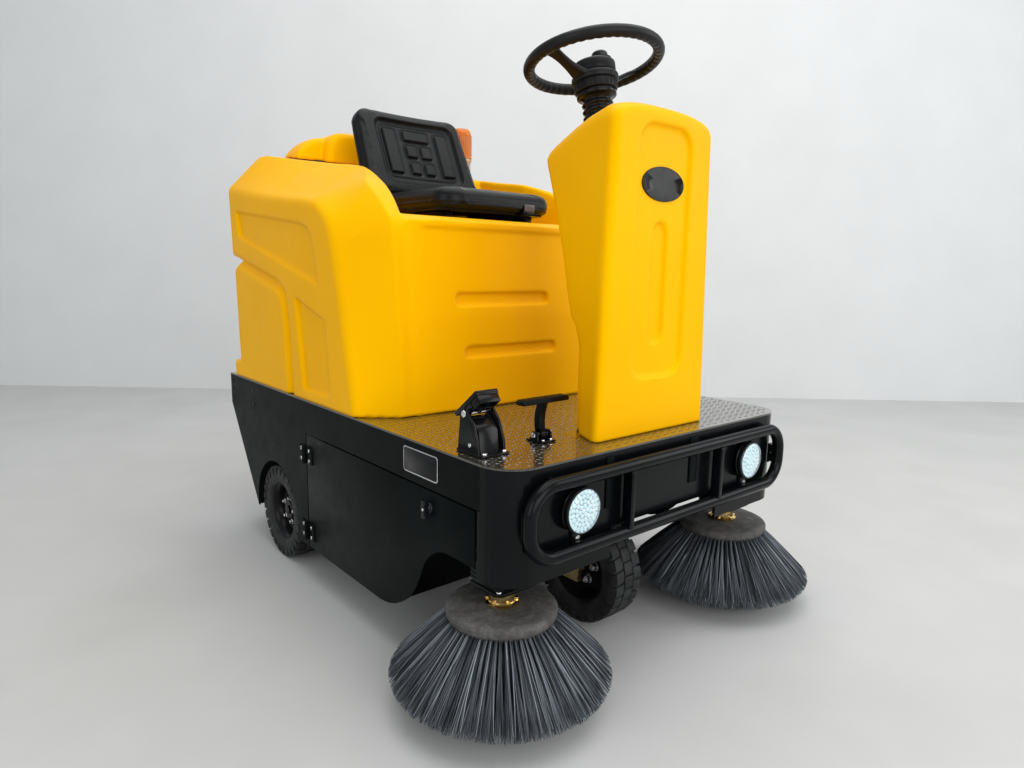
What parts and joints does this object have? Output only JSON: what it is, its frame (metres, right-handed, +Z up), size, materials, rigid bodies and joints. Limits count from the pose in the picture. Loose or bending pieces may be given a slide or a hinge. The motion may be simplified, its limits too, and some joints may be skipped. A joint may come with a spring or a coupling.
{
  "type": "ride-on sweeper",
  "caption": "Battery ride-on sweeper with side brushes, cylinder brush, rear hopper, steered front wheel, seat and yellow body.",
  "frame": {"origin": "on the floor, in the middle of the whole machine's outline", "axes": "+Z up; the front faces -Y; +X is the machine's left side"},
  "size_m": [1.1526, 1.45, 1.2893],
  "materials": {
    "yellow_shell": "moulded yellow shell, satin gloss",
    "black_sheet": "powder coated sheet steel, satin black",
    "black_frame": "powder coated steel, satin black",
    "checker_deck": "black chequered deck, glossy",
    "black_vinyl": "black vinyl upholstery",
    "black_plastic": "moulded black plastic",
    "tyre_rubber": "solid black rubber with block tread",
    "rim_paint": "black painted pressed rim",
    "zinc": "yellow zinc plated steel",
    "steel": "bright steel",
    "bristle": "dense dark plastic bristle",
    "amber_lens": "translucent amber lens",
    "clear_lens": "clear ribbed lens",
    "pale_plastic": "pale translucent plastic",
    "red_plastic": "moulded red plastic",
    "battery_case": "dark grey moulded case"
  },
  "bodies": {
    "chassis": {"deck_plate": "checker_deck", "frame_rail_left": "black_frame", "frame_rail_right": "black_frame", "front_cross_member": "black_frame", "brush_cross_member": "black_frame", "side_panel_left": "black_sheet", "side_panel_right": "black_sheet", "front_panel": "black_sheet", "front_guard": "black_frame", "headlamp_left": "black_plastic", "headlamp_right": "black_plastic", "headlamp_lens_left": "clear_lens", "headlamp_lens_right": "clear_lens", "axle_bracket_left": "black_frame", "axle_bracket_right": "black_frame", "brush_tunnel": "black_frame", "brush_motor": "black_plastic", "rear_body": "yellow_shell", "dust_filter": "battery_case", "beacon_base": "pale_plastic", "beacon_lens": "amber_lens", "battery": "battery_case", "motor_controller": "steel", "vacuum_fan": "black_plastic", "seat_slide": "black_frame", "steering_cowl": "yellow_shell", "column_bellows": "black_plastic", "control_panel": "black_plastic", "accelerator_base": "black_plastic", "brake_bracket": "black_frame", "steering_chain": "steel"},
    "steering": {"steering_wheel": "black_plastic", "hub_cap": "black_plastic", "steering_shaft": "steel"},
    "steered_fork": {"fork": "zinc"},
    "front_wheel": {"front_tyre": "tyre_rubber", "front_rim": "rim_paint"},
    "rear_wheel_left": {"rear_tyre_left": "tyre_rubber", "rear_rim_left": "rim_paint"},
    "rear_wheel_right": {"rear_tyre_right": "tyre_rubber", "rear_rim_right": "rim_paint"},
    "cylinder_brush": {"main_brush": "bristle"},
    "lift_arm_left": {"side_brush_arm_left": "black_frame", "side_brush_motor_left": "black_plastic"},
    "lift_arm_right": {"side_brush_arm_right": "black_frame", "side_brush_motor_right": "black_plastic"},
    "disc_brush_left": {"side_brush_left": "bristle"},
    "disc_brush_right": {"side_brush_right": "bristle"},
    "accelerator": {"accelerator_pedal": "black_plastic"},
    "brake": {"brake_pedal": "black_frame"},
    "service_door_left": {"door_left": "black_sheet"},
    "service_door_right": {"door_right": "black_sheet"},
    "latch_left": {"door_latch_left": "black_plastic"},
    "latch_right": {"door_latch_right": "black_plastic"},
    "debris_hopper": {"hopper": "black_sheet"},
    "seat": {"seat_cushion": "black_vinyl", "seat_backrest": "black_vinyl"},
    "hood": {"filter_hood": "yellow_shell"},
    "key": {"key_switch": "steel"},
    "stop": {"stop_button": "red_plastic"}
  },
  "joints": [
    {"name": "fork_turn", "type": "hinge", "parent": "chassis", "child": "steered_fork", "pos_m": [0, -0.389, 0.43], "axis": [0, 0, 1], "range_deg": [-70, 70]},
    {"name": "steering_turn", "type": "hinge", "parent": "chassis", "child": "steering", "pos_m": [0, -0.353, 1.25], "axis": [0, 0.1889, 0.982], "range_deg": [-140, 140]},
    {"name": "front_wheel_roll", "type": "hinge", "parent": "steered_fork", "child": "front_wheel", "pos_m": [0, -0.389, 0.13], "axis": [1, 0, 0], "continuous": true},
    {"name": "rear_wheel_roll_left", "type": "hinge", "parent": "chassis", "child": "rear_wheel_left", "pos_m": [0.391, 0.382, 0.13], "axis": [1, 0, 0], "continuous": true},
    {"name": "rear_wheel_roll_right", "type": "hinge", "parent": "chassis", "child": "rear_wheel_right", "pos_m": [-0.391, 0.382, 0.13], "axis": [1, 0, 0], "continuous": true},
    {"name": "cylinder_brush_spin", "type": "hinge", "parent": "chassis", "child": "cylinder_brush", "pos_m": [0, 0.02, 0.136], "axis": [1, 0, 0], "continuous": true},
    {"name": "lift_arm_raise_left", "type": "hinge", "parent": "chassis", "child": "lift_arm_left", "pos_m": [0.3633, -0.28, 0.33], "axis": [-1, 0, 0], "range_deg": [0, 10]},
    {"name": "disc_brush_spin_left", "type": "hinge", "parent": "lift_arm_left", "child": "disc_brush_left", "pos_m": [0.3633, -0.512, 0.2], "axis": [0, 0, 1], "continuous": true},
    {"name": "lift_arm_raise_right", "type": "hinge", "parent": "chassis", "child": "lift_arm_right", "pos_m": [-0.3633, -0.28, 0.33], "axis": [-1, 0, 0], "range_deg": [0, 10]},
    {"name": "disc_brush_spin_right", "type": "hinge", "parent": "lift_arm_right", "child": "disc_brush_right", "pos_m": [-0.3633, -0.512, 0.2], "axis": [0, 0, 1], "continuous": true},
    {"name": "accelerator_press", "type": "hinge", "parent": "chassis", "child": "accelerator", "pos_m": [-0.385, -0.461, 0.5545], "axis": [1, 0, 0], "range_deg": [0, 12], "stiffness_Nm_per_rad": 2, "springref_deg": -5.73},
    {"name": "brake_press", "type": "hinge", "parent": "chassis", "child": "brake", "pos_m": [-0.243, -0.48, 0.4965], "axis": [1, 0, 0], "range_deg": [0, 18], "stiffness_Nm_per_rad": 3, "springref_deg": -5.73},
    {"name": "service_door_swing_left", "type": "hinge", "parent": "chassis", "child": "service_door_left", "pos_m": [0.446, 0.177, 0.25], "axis": [0, 0, 1], "range_deg": [0, 110]},
    {"name": "latch_turn_left", "type": "hinge", "parent": "service_door_left", "child": "latch_left", "pos_m": [0.44, -0.386, 0.361], "axis": [1, 0, 0], "range_deg": [0, 90]},
    {"name": "service_door_swing_right", "type": "hinge", "parent": "chassis", "child": "service_door_right", "pos_m": [-0.446, 0.177, 0.25], "axis": [0, 0, -1], "range_deg": [0, 110]},
    {"name": "latch_turn_right", "type": "hinge", "parent": "service_door_right", "child": "latch_right", "pos_m": [-0.44, -0.386, 0.361], "axis": [-1, 0, 0], "range_deg": [0, 90]},
    {"name": "hopper_pull", "type": "slide", "parent": "chassis", "child": "debris_hopper", "axis": [0, 1, 0], "range_m": [0, 0.45]},
    {"name": "seat_adjust", "type": "slide", "parent": "chassis", "child": "seat", "axis": [0, 1, 0], "range_m": [-0.02, 0.02]},
    {"name": "hood_lift", "type": "hinge", "parent": "chassis", "child": "hood", "pos_m": [0, 0.659, 1.1275], "axis": [-1, 0, 0], "range_deg": [0, 75]},
    {"name": "key_turn", "type": "hinge", "parent": "chassis", "child": "key", "pos_m": [0.06, -0.467, 1.11465], "axis": [0, 0.2983, 0.9545], "range_deg": [0, 80]},
    {"name": "stop_press", "type": "slide", "parent": "chassis", "child": "stop", "axis": [0, -0.2983, -0.9545], "range_m": [0, 0.004], "stiffness_N_per_m": 400, "springref_m": -0.005}
  ],
  "couplings": [
    {"joint": "steering_turn", "follows": "fork_turn", "ratio": 2}
  ]
}
